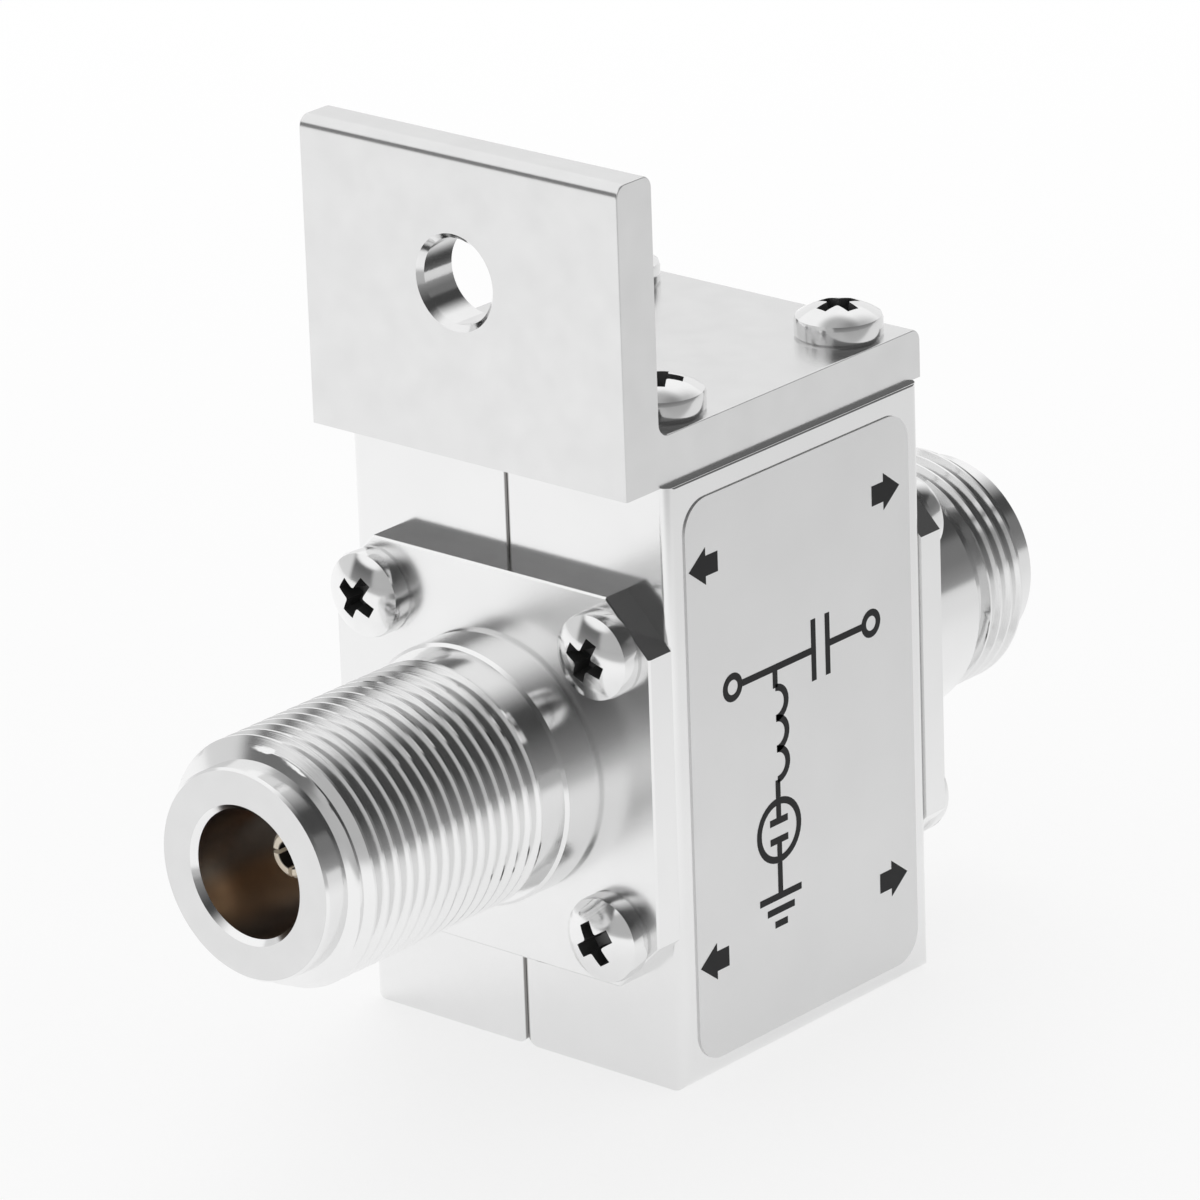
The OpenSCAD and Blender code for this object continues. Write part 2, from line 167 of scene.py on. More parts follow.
dress(new_finish("brass_plate", (0.80, 0.62, 0.34), 1, 0.28, cloud=(2 * MM, 0.15)),
      "capacitor_front_plate", "capacitor_rear_plate")
dress(new_finish("capacitor_ceramic", (0.62, 0.44, 0.28), 0, 0.5, cloud=(1 * MM, 0.12)), "capacitor_dielectric")
contact_gold = new_finish("contact_gold", (1.0, 0.91, 0.76), 0.35, 0.34, cloud=(0.8 * MM, 0.06))
contact_tree = contact_gold.node_tree
contact_low, contact_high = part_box("front_contact")
across_axis = contact_tree.nodes.new("ShaderNodeVectorMath")
across_axis.operation = "MULTIPLY"
across_axis.inputs[1].default_value = (1, 0, 1)
contact_tree.links.new(contact_tree.nodes.new("ShaderNodeTexCoord").outputs["Object"], across_axis.inputs[0])
off_axis = contact_tree.nodes.new("ShaderNodeVectorMath")
off_axis.operation = "DISTANCE"
off_axis.inputs[1].default_value = (0, 0, (contact_low.z + contact_high.z) / 2)
contact_tree.links.new(across_axis.outputs[0], off_axis.inputs[0])
in_bore_shade = contact_tree.nodes.new("ShaderNodeMapRange")
in_bore_shade.inputs["From Min"].default_value = CONTACT_BORE_R
in_bore_shade.inputs["From Max"].default_value = CONTACT_BORE_R + CONTACT_BORE_FADE
in_bore_shade.inputs["To Min"].default_value = 1
in_bore_shade.inputs["To Max"].default_value = 0
contact_tree.links.new(off_axis.outputs["Value"], in_bore_shade.inputs["Value"])
# Painted shade: the contact's bore goes near black.
tint(contact_gold, in_bore_shade.outputs["Result"], CONTACT_BORE_SHADE_TONE)
dress(contact_gold, "front_contact", "rear_contact")
dress(new_finish("fluoropolymer", (0.90, 0.90, 0.87), 0, 0.42, cloud=(2 * MM, 0.06)),
      "front_insulator", "rear_insulator")

# The block: two machined halves that meet on the seam and close round the line.
# They are bright nickel plate over aluminium, with softly broken outer edges and a dark line in the seam,
# painted into the colour for the shade in the joint and its dirt.
SEAM_SHADE_AND_DIRT = (0.1 * MM, 0.24 * MM)
SEAM_SHADE_AND_DIRT_TONE = (0.24, 0.235, 0.23)


def two_way(tree, operation, first, second):
    """Output of a math node fed by two sockets."""
    node = tree.nodes.new("ShaderNodeMath")
    node.operation = operation
    tree.links.new(first, node.inputs[0])
    tree.links.new(second, node.inputs[1])
    return node.outputs[0]


def slope_along(tree, place, way, low, high, levels, kind="SMOOTHSTEP"):
    """Output that goes from the first level to the second as a place moves along a way from low to high."""
    along = tree.nodes.new("ShaderNodeVectorMath")
    along.operation = "DOT_PRODUCT"
    along.inputs[1].default_value = way
    tree.links.new(place, along.inputs[0])
    ramp = tree.nodes.new("ShaderNodeMapRange")
    ramp.interpolation_type = kind
    ramp.inputs["From Min"].default_value = low
    ramp.inputs["From Max"].default_value = high
    ramp.inputs["To Min"].default_value = levels[0]
    ramp.inputs["To Max"].default_value = levels[1]
    tree.links.new(along.outputs["Value"], ramp.inputs["Value"])
    return ramp.outputs["Result"]


block_nickel = new_finish("block_nickel", (0.86, 0.86, 0.86), 1, 0.15, cloud=(7 * MM, 0.06), spread=0.06,
                          grain=(0.35 * MM, 0.0006 * MM))
block_place = block_nickel.node_tree.nodes.new("ShaderNodeTexCoord").outputs["Object"]
# The colour darkens to a thin line along the seam: painted shade in the joint, with dirt.
seam_sides = [slope_along(block_nickel.node_tree, block_place, Vector((way, 0, 0)), *SEAM_SHADE_AND_DIRT, (1, 0))
              for way in (-1, 1)]
tint(block_nickel, two_way(block_nickel.node_tree, "MULTIPLY", *seam_sides), SEAM_SHADE_AND_DIRT_TONE)
dress(block_nickel, "left_housing", "right_housing")

# The two jacks, turned from brass bar and nickel plated, with a milled square flange.
# A coupling thread of 24 turns to the inch runs from the plain pilot at the nose to a relief, a plain
# collar stands against the flange, and the spigot behind it centres the jack in the block.
JACK_STEPS = 96
HOLE_STEPS = 32
WELD = 0.0005 * MM
TOUCH = 0.01 * MM
BORE_FINISH, FLANGE_FINISH, NOSE_FINISH = 1, 2, 3
THREAD_R = 7.9375 * MM
THREAD_PITCH = 25.4 / 24 * MM
THREAD_DEPTH = 0.6 * MM
THREAD_CREST = 0.16 * MM
THREAD_FLANK = math.radians(30)
PILOT_R = 6.65 * MM
PILOT_LENGTH = 1.7 * MM
LEAD_CHAMFER = 0.6 * MM
NOSE_EDGE = 0.15 * MM
MOUTH_R = 4.05 * MM
MOUTH_CHAMFER = 0.35 * MM
MOUTH_DEPTH = 9.1 * MM
THROAT_R = 3.5 * MM
SHOULDER = 12 * MM
BEAD_R = 4.6 * MM
RELIEF_R = 7.25 * MM
RELIEF_WIDTH = 1.4 * MM
COLLAR_R = 8.35 * MM
FRONT_COLLAR = 3 * MM
REAR_COLLAR = 9.25 * MM
COLLAR_EDGE = 0.2 * MM
FOOT_GROOVE = 0.2 * MM
SPIGOT_R = 6.5 * MM
SPIGOT_LENGTH = 3 * MM
# Heights about the axis of a warm band low in the bore, and its colour: a painted reflection of the gold contact.
BORE_REFLECTION_BANDS = ((-4.4 * MM, -3.4 * MM, (0, 1)), (-2.4 * MM, -0.8 * MM, (1, 0)))
CONTACT_REFLECTION_TONE = (0.62, 0.43, 0.29)
FLANGE_HALF = 12.6 * MM
FLANGE_THICK = 2 * MM
FLANGE_CORNER = 3.3 * MM
FLANGE_EDGE = 0.12 * MM
FLANGE_HOLE_R = 1.625 * MM
FLANGE_HOLE_AT = 9.13 * MM
axis_height = (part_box("front_jack")[0].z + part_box("front_jack")[1].z) / 2
front_nose = Vector((0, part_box("front_jack")[0].y, axis_height))
rear_nose = Vector((0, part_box("rear_jack")[1].y, axis_height))
FRONT_PLACE = Matrix.Translation(front_nose) @ Matrix.Rotation(math.radians(-90), 4, "X")
REAR_PLACE = Matrix.Translation(rear_nose) @ Matrix.Rotation(math.radians(90), 4, "X")
front_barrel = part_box("left_housing")[0].y - FLANGE_THICK - front_nose.y
rear_barrel = rear_nose.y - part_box("left_housing")[1].y - FLANGE_THICK


def lathe(bm, outline, steps):
    """Spins an outline of (radius, height) points round the local Z axis."""
    points = [bm.verts.new((radius, 0, height)) for radius, height in outline]
    lines = [bm.edges.new(pair) for pair in zip(points, points[1:])]
    bmesh.ops.spin(bm, geom=points + lines, axis=(0, 0, 1), angle=math.tau, steps=steps, use_merge=True)


def cut_thread(bm, relief_at):
    """Sweeps one right-hand turn, repeats it up the barrel, and cuts it back to the pilot and the relief."""
    flank = THREAD_DEPTH * math.tan(THREAD_FLANK)
    root_flat = THREAD_PITCH - THREAD_CREST - 2 * flank
    root = THREAD_R - THREAD_DEPTH
    heights = (0, root_flat, root_flat + flank, root_flat + flank + THREAD_CREST, THREAD_PITCH)
    radii = (root, root, THREAD_R, THREAD_R, root)
    points = [bm.verts.new((radius, 0, height - THREAD_PITCH)) for radius, height in zip(radii, heights)]
    lines = [bm.edges.new(pair) for pair in zip(points, points[1:])]
    bmesh.ops.subdivide_edges(bm, edges=lines, cuts=2)
    bmesh.ops.spin(bm, geom=bm.verts[:] + bm.edges[:], axis=(0, 0, 1), angle=math.tau,
                   dvec=(0, 0, THREAD_PITCH / JACK_STEPS), steps=JACK_STEPS)
    first_turn = bm.verts[:] + bm.edges[:] + bm.faces[:]
    for turn in range(1, math.ceil(relief_at / THREAD_PITCH) + 1):
        copied = bmesh.ops.duplicate(bm, geom=first_turn)["geom"]
        raised = [item for item in copied if isinstance(item, bmesh.types.BMVert)]
        bmesh.ops.translate(bm, vec=(0, 0, turn * THREAD_PITCH), verts=raised)
    slope = (THREAD_R - PILOT_R) / LEAD_CHAMFER
    for point in bm.verts:
        height = min(max(point.co.z, PILOT_LENGTH), relief_at)
        radius = min(point.co.xy.length, PILOT_R + slope * (height - PILOT_LENGTH))
        if height == relief_at:
            radius = RELIEF_R
        point.co.xy *= radius / point.co.xy.length
        point.co.z = height


def ring_at(bm, radius, height):
    """Edges of the ring of that radius at that height."""
    near = 0.001 * MM
    ring = {p for p in bm.verts if abs(p.co.z - height) < near and abs(p.co.xy.length - radius) < near}
    return [edge for edge in bm.edges if ring.issuperset(edge.verts)]


def flange_outline(bm, half, height):
    """Edges of the square outline with cut corners."""
    inner = FLANGE_HALF - FLANGE_CORNER
    corners = []
    for quarter in range(4):
        turn = Matrix.Rotation(math.radians(90 * quarter), 3, "Z")
        corners += [turn @ Vector((half, -inner, height)), turn @ Vector((half, inner, height))]
    points = [bm.verts.new(corner) for corner in corners]
    return [bm.edges.new((points[i - 1], points[i])) for i in range(len(points))]


def hole_rims(bm, height):
    """Edges of the four screw holes' rims at that height."""
    rims = []
    for x in (-FLANGE_HOLE_AT, FLANGE_HOLE_AT):
        for y in (-FLANGE_HOLE_AT, FLANGE_HOLE_AT):
            rim = bmesh.ops.create_circle(bm, segments=HOLE_STEPS, radius=FLANGE_HOLE_R,
                                          matrix=Matrix.Translation((x, y, height)))["verts"]
            rims.append(list({edge for point in rim for edge in point.link_edges}))
    return rims


def turned_jack(barrel, collar):
    """One jack in its own frame, with the nose at the origin and the flange up the Z axis."""
    bm = bmesh.new()
    collar_at = barrel - collar
    relief_at = collar_at - RELIEF_WIDTH
    flange_back = barrel + FLANGE_THICK
    spigot_end = flange_back + SPIGOT_LENGTH
    cut_thread(bm, relief_at)
    bmesh.ops.remove_doubles(bm, verts=bm.verts, dist=WELD)
    lathe(bm, [(PILOT_R, PILOT_LENGTH), (PILOT_R, NOSE_EDGE), (PILOT_R - NOSE_EDGE, 0),
               (MOUTH_R + MOUTH_CHAMFER, 0), (MOUTH_R, MOUTH_CHAMFER), (MOUTH_R, MOUTH_DEPTH),
               (THROAT_R, MOUTH_DEPTH), (THROAT_R, SHOULDER), (BEAD_R, SHOULDER), (BEAD_R, spigot_end),
               (SPIGOT_R, spigot_end), (SPIGOT_R, flange_back)], JACK_STEPS)
    lathe(bm, [(RELIEF_R, relief_at), (RELIEF_R, collar_at), (COLLAR_R - COLLAR_EDGE, collar_at),
               (COLLAR_R, collar_at + COLLAR_EDGE), (COLLAR_R, barrel - 2 * FOOT_GROOVE),
               (COLLAR_R - FOOT_GROOVE, barrel - FOOT_GROOVE), (COLLAR_R - FOOT_GROOVE, barrel)], JACK_STEPS)
    front_rims = hole_rims(bm, barrel)
    back_rims = hole_rims(bm, flange_back)
    outlines = [flange_outline(bm, FLANGE_HALF - FLANGE_EDGE, barrel),
                flange_outline(bm, FLANGE_HALF, barrel + FLANGE_EDGE),
                flange_outline(bm, FLANGE_HALF, flange_back)]
    for lower, upper in list(zip(outlines, outlines[1:])) + list(zip(front_rims, back_rims)):
        bmesh.ops.bridge_loops(bm, edges=lower + upper)
    front_face = outlines[0] + sum(front_rims, []) + ring_at(bm, COLLAR_R - FOOT_GROOVE, barrel)
    back_face = outlines[-1] + sum(back_rims, []) + ring_at(bm, SPIGOT_R, flange_back)
    bmesh.ops.triangle_fill(bm, edges=front_face, use_beauty=True, normal=(0, 0, -1))
    bmesh.ops.triangle_fill(bm, edges=back_face, use_beauty=True, normal=(0, 0, 1))
    bmesh.ops.remove_doubles(bm, verts=bm.verts, dist=WELD)
    bmesh.ops.recalc_face_normals(bm, faces=bm.faces)
    for face in bm.faces:
        middle = face.calc_center_median()
        if middle.xy.length < MOUTH_R:
            face.material_index = BORE_FINISH
        elif abs(middle.z - barrel) < TOUCH:
            face.material_index = FLANGE_FINISH
        elif middle.z < TOUCH:
            face.material_index = NOSE_FINISH
    return bm


def add_turning(finish, mark_width, mark_depth):
    """Gives a finish the fine marks of the turning tool, round the jacks' common axis."""
    tree = finish.node_tree
    marks = tree.nodes.new("ShaderNodeGroup")
    marks.node_tree = turning_marks
    marks.inputs["Axis height"].default_value = axis_height
    marks.inputs["Mark width"].default_value = mark_width
    relief = tree.nodes.new("ShaderNodeBump")
    relief.inputs["Strength"].default_value = 1
    relief.inputs["Distance"].default_value = mark_depth
    shader = tree.nodes["Principled BSDF"]
    tree.links.new(marks.outputs["Marks"], relief.inputs["Height"])
    tree.links.new(shader.inputs["Normal"].links[0].from_socket, relief.inputs["Normal"])
    tree.links.new(relief.outputs["Normal"], shader.inputs["Normal"])


def make_turning_marks():
    """Group: height of turning marks, which change along the axis and with the radius."""
    group = bpy.data.node_groups.new("turning_marks", "ShaderNodeTree")
    group.interface.new_socket("Axis height", in_out="INPUT", socket_type="NodeSocketFloat")
    group.interface.new_socket("Mark width", in_out="INPUT", socket_type="NodeSocketFloat")
    group.interface.new_socket("Marks", in_out="OUTPUT", socket_type="NodeSocketFloat")
    given = group.nodes.new("NodeGroupInput")
    result = group.nodes.new("NodeGroupOutput")
    place = group.nodes.new("ShaderNodeTexCoord")
    apart = group.nodes.new("ShaderNodeSeparateXYZ")
    group.links.new(place.outputs["Object"], apart.inputs[0])

    across = group.nodes.new("ShaderNodeCombineXYZ")
    group.links.new(apart.outputs["X"], across.inputs["X"])
    above_axis = two_way(group, "SUBTRACT", apart.outputs["Z"], given.outputs["Axis height"])
    group.links.new(above_axis, across.inputs["Y"])
    radius = group.nodes.new("ShaderNodeVectorMath")
    radius.operation = "LENGTH"
    group.links.new(across.outputs[0], radius.inputs[0])
    tool_run = two_way(group, "ADD", apart.outputs["Y"], radius.outputs["Value"])
    noise = group.nodes.new("ShaderNodeTexNoise")
    noise.noise_dimensions = "1D"
    noise.inputs["Scale"].default_value = 1
    group.links.new(two_way(group, "DIVIDE", tool_run, given.outputs["Mark width"]), noise.inputs["W"])
    group.links.new(noise.outputs["Fac"], result.inputs["Marks"])
    return group


def add_piece(name, bm, finishes, slot, *stood_for, sharp=32):
    """Makes a finished piece that rides on the part and stands for those CAD nodes."""
    mesh = bpy.data.meshes.new(name)
    bm.to_mesh(mesh)
    bm.free()
    for finish in finishes:
        mesh.materials.append(finish)
    mesh.shade_smooth()
    mesh.set_sharp_from_angle(angle=math.radians(sharp))
    piece = bpy.data.objects.new(name, mesh)
    bpy.context.scene.collection.objects.link(piece)
    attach(piece, "root")
    if stood_for:
        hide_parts(*stood_for)
    return piece


turning_marks = make_turning_marks()
jack_nickel = new_finish("jack_nickel", (0.87, 0.87, 0.87), 1, 0.14, cloud=(5 * MM, 0.05), spread=0.05,
                         grain=(0.3 * MM, 0.0004 * MM))
add_turning(jack_nickel, 0.09 * MM, 0.0012 * MM)
flange_nickel = new_finish("flange_nickel", (0.87, 0.87, 0.87), 1, 0.24, cloud=(5 * MM, 0.05), spread=0.05,
                           grain=(0.25 * MM, 0.0008 * MM))
# The nose face has a darker copy of the jack's nickel, rougher and with coarser marks: its darker colour is painted
# shade.
shaded_nose_nickel = new_finish("shaded_nose_nickel", (0.75, 0.75, 0.75), 1, 0.26, cloud=(2 * MM, 0.08), spread=0.05)
add_turning(shaded_nose_nickel, 0.12 * MM, 0.002 * MM)
# The mouth's inside has a much darker copy of the jack's nickel: painted shade deep in the bore.
shaded_bore_nickel = new_finish("shaded_bore_nickel", (0.40, 0.38, 0.37), 1, 0.3, cloud=(2 * MM, 0.2))
bore_place = shaded_bore_nickel.node_tree.nodes.new("ShaderNodeTexCoord").outputs["Object"]
bore_bands = [slope_along(shaded_bore_nickel.node_tree, bore_place, Vector((0, 0, 1)),
                          axis_height + low, axis_height + high, levels)
              for low, high, levels in BORE_REFLECTION_BANDS]
# Tints the bore's colour warm in that band: a painted reflection of the gold contact.
tint(shaded_bore_nickel, two_way(shaded_bore_nickel.node_tree, "MULTIPLY", *bore_bands), CONTACT_REFLECTION_TONE)
for name, barrel, collar, place in (("front_jack", front_barrel, FRONT_COLLAR, FRONT_PLACE),
                                    ("rear_jack", rear_barrel, REAR_COLLAR, REAR_PLACE)):
    jack = turned_jack(barrel, collar)
    bmesh.ops.transform(jack, matrix=place, verts=jack.verts)
    add_piece("threaded_" + name, jack, [jack_nickel, shaded_bore_nickel, flange_nickel, shaded_nose_nickel],
              "nickel_jack", name)

# The screws: pan heads with a cross recess, cold formed from steel wire and bright plated.
# Four hold each flange to the block, two in each half, so they also hold the halves together.
HEAD_R = 2.75 * MM
HEAD_HEIGHT = 2.1 * MM
HEAD_SIDE = 1.2 * MM
HEAD_EDGE = 0.3 * MM
RIM_INSET = 0.3 * HEAD_EDGE
RIM_DROP = 0.45 * HEAD_EDGE
SIDE_DROP = 1.4 * HEAD_EDGE
DOME_STEPS = 10
SHANK_R = 1.425 * MM
SHANK_TIP = 0.4 * MM
SCREW_STEPS = 64
RECESS_SPAN = 3.3 * MM
RECESS_FLOOR_SPAN = 2 * MM
RECESS_WIDTH = 1.0 * MM
RECESS_DEPTH = 1.4 * MM
RECESS_HEEL = 0.16 * MM
FLANGE_BITE = 6 * MM
FRONT_TURNS = (57, 10, 66, 33)
REAR_TURNS = (15, 70, 35, 55)
CUT_FINISH = 1


def shaped_by_cut(body, cutter, finishes):
    """The mesh of body with cutter taken out of it. Both are bmeshes with these finishes, and are used up."""
    objects = []
    for label, bm in (("cut_body", body), ("cut_tool", cutter)):
        mesh = bpy.data.meshes.new(label)
        bm.to_mesh(mesh)
        bm.free()
        for finish in finishes:
            mesh.materials.append(finish)
        objects.append(bpy.data.objects.new(label, mesh))
        bpy.context.scene.collection.objects.link(objects[-1])
    cut = objects[0].modifiers.new("cut", "BOOLEAN")
    cut.operation = "DIFFERENCE"
    cut.solver = "EXACT"
    cut.object = objects[1]
    view = bpy.context.evaluated_depsgraph_get()
    result = bpy.data.meshes.new_from_object(objects[0].evaluated_get(view))
    for scratch in objects:
        bpy.data.objects.remove(scratch)
    return result


def cross_recess(top):
    """Four tapered wings round a square core, from above the head's top down into it."""
    bm = bmesh.new()
    clear = 0.5 * MM
    bmesh.ops.create_cube(bm, size=1, matrix=Matrix.Diagonal((RECESS_WIDTH, RECESS_WIDTH, RECESS_DEPTH + clear, 1)))
    sides = [face for face in bm.faces if abs(face.normal.z) < 0.5]
    reach = (RECESS_SPAN - RECESS_WIDTH) / 2
    for wing in bmesh.ops.extrude_discrete_faces(bm, faces=sides)["faces"]:
        bmesh.ops.translate(bm, vec=wing.normal * reach, verts=wing.verts)
    heels = [edge for edge in bm.edges
             if abs(edge.verts[0].co.x) < RECESS_WIDTH and abs(edge.verts[0].co.y) < RECESS_WIDTH
             and abs(edge.verts[0].co.z - edge.verts[1].co.z) > clear]
    bmesh.ops.bevel(bm, geom=heels, offset=RECESS_HEEL, offset_type="OFFSET", segments=2, profile=0.5,
                    affect="EDGES", material=-1)
    floor = [point for point in bm.verts if point.co.z < 0]
    taper = RECESS_FLOOR_SPAN / RECESS_SPAN
    bmesh.ops.scale(bm, vec=(taper, taper, 1), verts=floor)
    bmesh.ops.translate(bm, vec=(0, 0, top + clear - (RECESS_DEPTH + clear) / 2), verts=bm.verts)
    bmesh.ops.recalc_face_normals(bm, faces=bm.faces)
    for face in bm.faces:
        face.material_index = CUT_FINISH
    return bm


def pan_screw(shank, finishes):
    """Mesh of one screw in its own frame, seated on the XY plane with the head up."""
    rise = HEAD_HEIGHT - HEAD_SIDE
    dome_r = (HEAD_R ** 2 + rise ** 2) / (2 * rise)
    edge_r = HEAD_R - HEAD_EDGE
    spread = math.asin(edge_r / dome_r)
    turns = [spread * i / DOME_STEPS for i in range(DOME_STEPS + 1)]
    dome = [(dome_r * math.sin(turn), HEAD_HEIGHT - dome_r + dome_r * math.cos(turn)) for turn in turns]
    dome_foot = dome[-1][1]
    body = bmesh.new()
    lathe(body, dome + [(HEAD_R - RIM_INSET, dome_foot - RIM_DROP), (HEAD_R, dome_foot - SIDE_DROP),
                        (HEAD_R, HEAD_EDGE / 2), (HEAD_R - HEAD_EDGE / 2, 0), (SHANK_R, 0),
                        (SHANK_R, SHANK_TIP - shank), (SHANK_R - SHANK_TIP / 2, -shank), (0, -shank)], SCREW_STEPS)
    bmesh.ops.remove_doubles(body, verts=body.verts, dist=WELD)
    bmesh.ops.recalc_face_normals(body, faces=body.faces)
    return shaped_by_cut(body, cross_recess(HEAD_HEIGHT), finishes)


def screw_group(name, shank, seats, finishes):
    """One piece of several screws. seats are (matrix of the seat, turn of the recess in degrees)."""
    screw = pan_screw(shank, finishes)
    bm = bmesh.new()
    for seat, turn in seats:
        before = len(bm.verts)
        bm.from_mesh(screw)
        bm.verts.ensure_lookup_table()
        bmesh.ops.transform(bm, matrix=seat @ Matrix.Rotation(math.radians(turn), 4, "Z"), verts=bm.verts[before:])
    add_piece("pan_" + name, bm, finishes, "bright_screw", name)


def flange_seats(place, barrel, turns):
    """Seats of the four flange screws, whose heads face the nose."""
    spots = [(x, y) for x in (-FLANGE_HOLE_AT, FLANGE_HOLE_AT) for y in (-FLANGE_HOLE_AT, FLANGE_HOLE_AT)]
    face_nose = Matrix.Rotation(math.radians(180), 4, "X")
    return [(place @ Matrix.Translation((x, y, barrel)) @ face_nose, turn) for (x, y), turn in zip(spots, turns)]


bright_steel = new_finish("bright_steel", (0.88, 0.88, 0.88), 1, 0.13, cloud=(2 * MM, 0.1), spread=0.08,
                          grain=(0.25 * MM, 0.0006 * MM))
# Inside the cross recess the steel is painted dark: painted shade in the recess, with the duller punched surface.
shaded_recess_steel = new_finish("shaded_recess_steel", (0.20, 0.20, 0.20), 1, 0.5, cloud=(1 * MM, 0.2))
screw_finishes = [bright_steel, shaded_recess_steel]
flange_shank = FLANGE_THICK + FLANGE_BITE
screw_group("front_flange_screws", flange_shank, flange_seats(FRONT_PLACE, front_barrel, FRONT_TURNS),
            screw_finishes)
screw_group("rear_flange_screws", flange_shank, flange_seats(REAR_PLACE, rear_barrel, REAR_TURNS),
            screw_finishes)

# The angle bracket, sawn from an extruded aluminium angle and satin plated.
# Its base lies on the block's top, and the upright leg has one chamfered hole for the mounting bolt.
BRACKET_THICK = 3.175 * MM
BEND_R = 0.8 * MM
BRACKET_EDGE = 0.8 * MM
BRACKET_SAWN_EDGE = 0.12 * MM
ROUND_STEPS = 8
BREAK_STEPS = 2
MOUNT_HOLE_R = 2.7 * MM
MOUNT_HOLE_STEPS = 72
MOUNT_HOLE_CHAMFER = 0.35 * MM
MOUNT_HOLE_RISE = 11.2 * MM
MOUNT_HOLE_SHIFT = -0.45 * MM
BRACKET_HOLE_R = 1.825 * MM
BRACKET_HOLE_STEPS = 40
BRACKET_SCREW_X = 8.9 * MM
BRACKET_SCREW_FRONT = 4.1 * MM
BRACKET_SCREW_REAR = 3 * MM
bracket_low, bracket_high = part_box("angle_bracket")
block_low, block_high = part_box("left_housing")
bracket_mid = (bracket_low.x + bracket_high.x) / 2
bracket_spots = [Vector((x, y, bracket_low.z)) for x in (-BRACKET_SCREW_X, BRACKET_SCREW_X)
                 for y in (block_low.y + BRACKET_SCREW_FRONT, block_high.y - BRACKET_SCREW_REAR)]


def bracket_body():
    """The angle before it is drilled, with its fillet and broken edges."""
    bm = bmesh.new()
    inner_y = bracket_low.y + BRACKET_THICK
    inner_z = bracket_low.z + BRACKET_THICK
    section = [(bracket_low.y, bracket_low.z), (bracket_high.y, bracket_low.z), (bracket_high.y, inner_z),
               (inner_y, inner_z), (inner_y, bracket_high.z), (bracket_low.y, bracket_high.z)]
    face = bm.faces.new([bm.verts.new((bracket_low.x, y, z)) for y, z in section])
    drawn = bmesh.ops.extrude_face_region(bm, geom=[face])["geom"]
    width = bracket_high.x - bracket_low.x
    bmesh.ops.translate(bm, vec=(width, 0, 0), verts=[v for v in drawn if isinstance(v, bmesh.types.BMVert)])
    bmesh.ops.recalc_face_normals(bm, faces=bm.faces)

    def round_edges(chosen, radius, segments):
        bmesh.ops.bevel(bm, geom=chosen, offset=radius, offset_type="OFFSET", segments=segments, profile=0.5,
                        affect="EDGES", material=-1)

    def lies_at(edge, *places):
        """Whether both ends of an edge lie at all these (axis, value) places."""
        return all(abs(end.co[axis] - value) < TOUCH for end in edge.verts for axis, value in places)

    round_edges([edge for edge in bm.edges if lies_at(edge, (1, inner_y), (2, inner_z))], BEND_R, ROUND_STEPS)
    round_edges([edge for edge in bm.edges for y, z in ((bracket_low.y, bracket_high.z), (inner_y, bracket_high.z),
                                                        (bracket_high.y, inner_z))
                 if lies_at(edge, (1, y), (2, z))], BRACKET_EDGE, ROUND_STEPS)
    round_edges([edge for edge in bm.edges if edge.calc_face_angle(0) > math.radians(60)
                 and not lies_at(edge, (2, bracket_low.z))], BRACKET_SAWN_EDGE, BREAK_STEPS)
    return bm


def bracket_drills():
    """What is cut out: the chamfered mounting hole and the four screw holes."""
    bm = bmesh.new()
    over = MOUNT_HOLE_CHAMFER
    wide = MOUNT_HOLE_R + 2 * MOUNT_HOLE_CHAMFER
    lathe(bm, [(0, -over), (wide, -over), (MOUNT_HOLE_R, over), (MOUNT_HOLE_R, BRACKET_THICK - over),
               (wide, BRACKET_THICK + over), (0, BRACKET_THICK + over)], MOUNT_HOLE_STEPS)
    hole = Vector((bracket_mid + MOUNT_HOLE_SHIFT, bracket_low.y, bracket_low.z + MOUNT_HOLE_RISE))
    bmesh.ops.transform(bm, matrix=Matrix.Translation(hole) @ Matrix.Rotation(math.radians(-90), 4, "X"),
                        verts=bm.verts)
    for spot in bracket_spots:
        middle = spot + Vector((0, 0, BRACKET_THICK / 2))
        bmesh.ops.create_cone(bm, cap_ends=True, segments=BRACKET_HOLE_STEPS,
                              radius1=BRACKET_HOLE_R, radius2=BRACKET_HOLE_R, depth=2 * BRACKET_THICK,
                              matrix=Matrix.Translation(middle))
    bmesh.ops.remove_doubles(bm, verts=bm.verts, dist=WELD)
    bmesh.ops.recalc_face_normals(bm, faces=bm.faces)
    for face in bm.faces:
        face.material_index = CUT_FINISH
    return bm


satin_plate = new_finish("satin_plate", (0.80, 0.80, 0.80), 1, 0.22, cloud=(2.5 * MM, 0.1), spread=0.08,
                         grain=(0.22 * MM, 0.0022 * MM))
drilled_plate = new_finish("drilled_plate", (0.84, 0.84, 0.84), 1, 0.12, cloud=(2 * MM, 0.1))
bracket_finishes = [satin_plate, drilled_plate]
drilled = bmesh.new()
drilled.from_mesh(shaped_by_cut(bracket_body(), bracket_drills(), bracket_finishes))
bracket = add_piece("drilled_angle_bracket", drilled, bracket_finishes, "satin_bracket", "angle_bracket", sharp=40)
bracket.modifiers.new("flat_faces", "WEIGHTED_NORMAL").keep_sharp = True

# The four screws that hold the bracket down, longer than the flange screws.
# They go through clearance holes in its base into both halves of the block.
BRACKET_BITE = 7 * MM
BRACKET_TURNS = (20, 65, 35, 80)
bracket_seats = [(Matrix.Translation(spot + Vector((0, 0, BRACKET_THICK))), turn)
                 for spot, turn in zip(bracket_spots, BRACKET_TURNS)]
screw_group("bracket_screws", BRACKET_THICK + BRACKET_BITE, bracket_seats, screw_finishes)

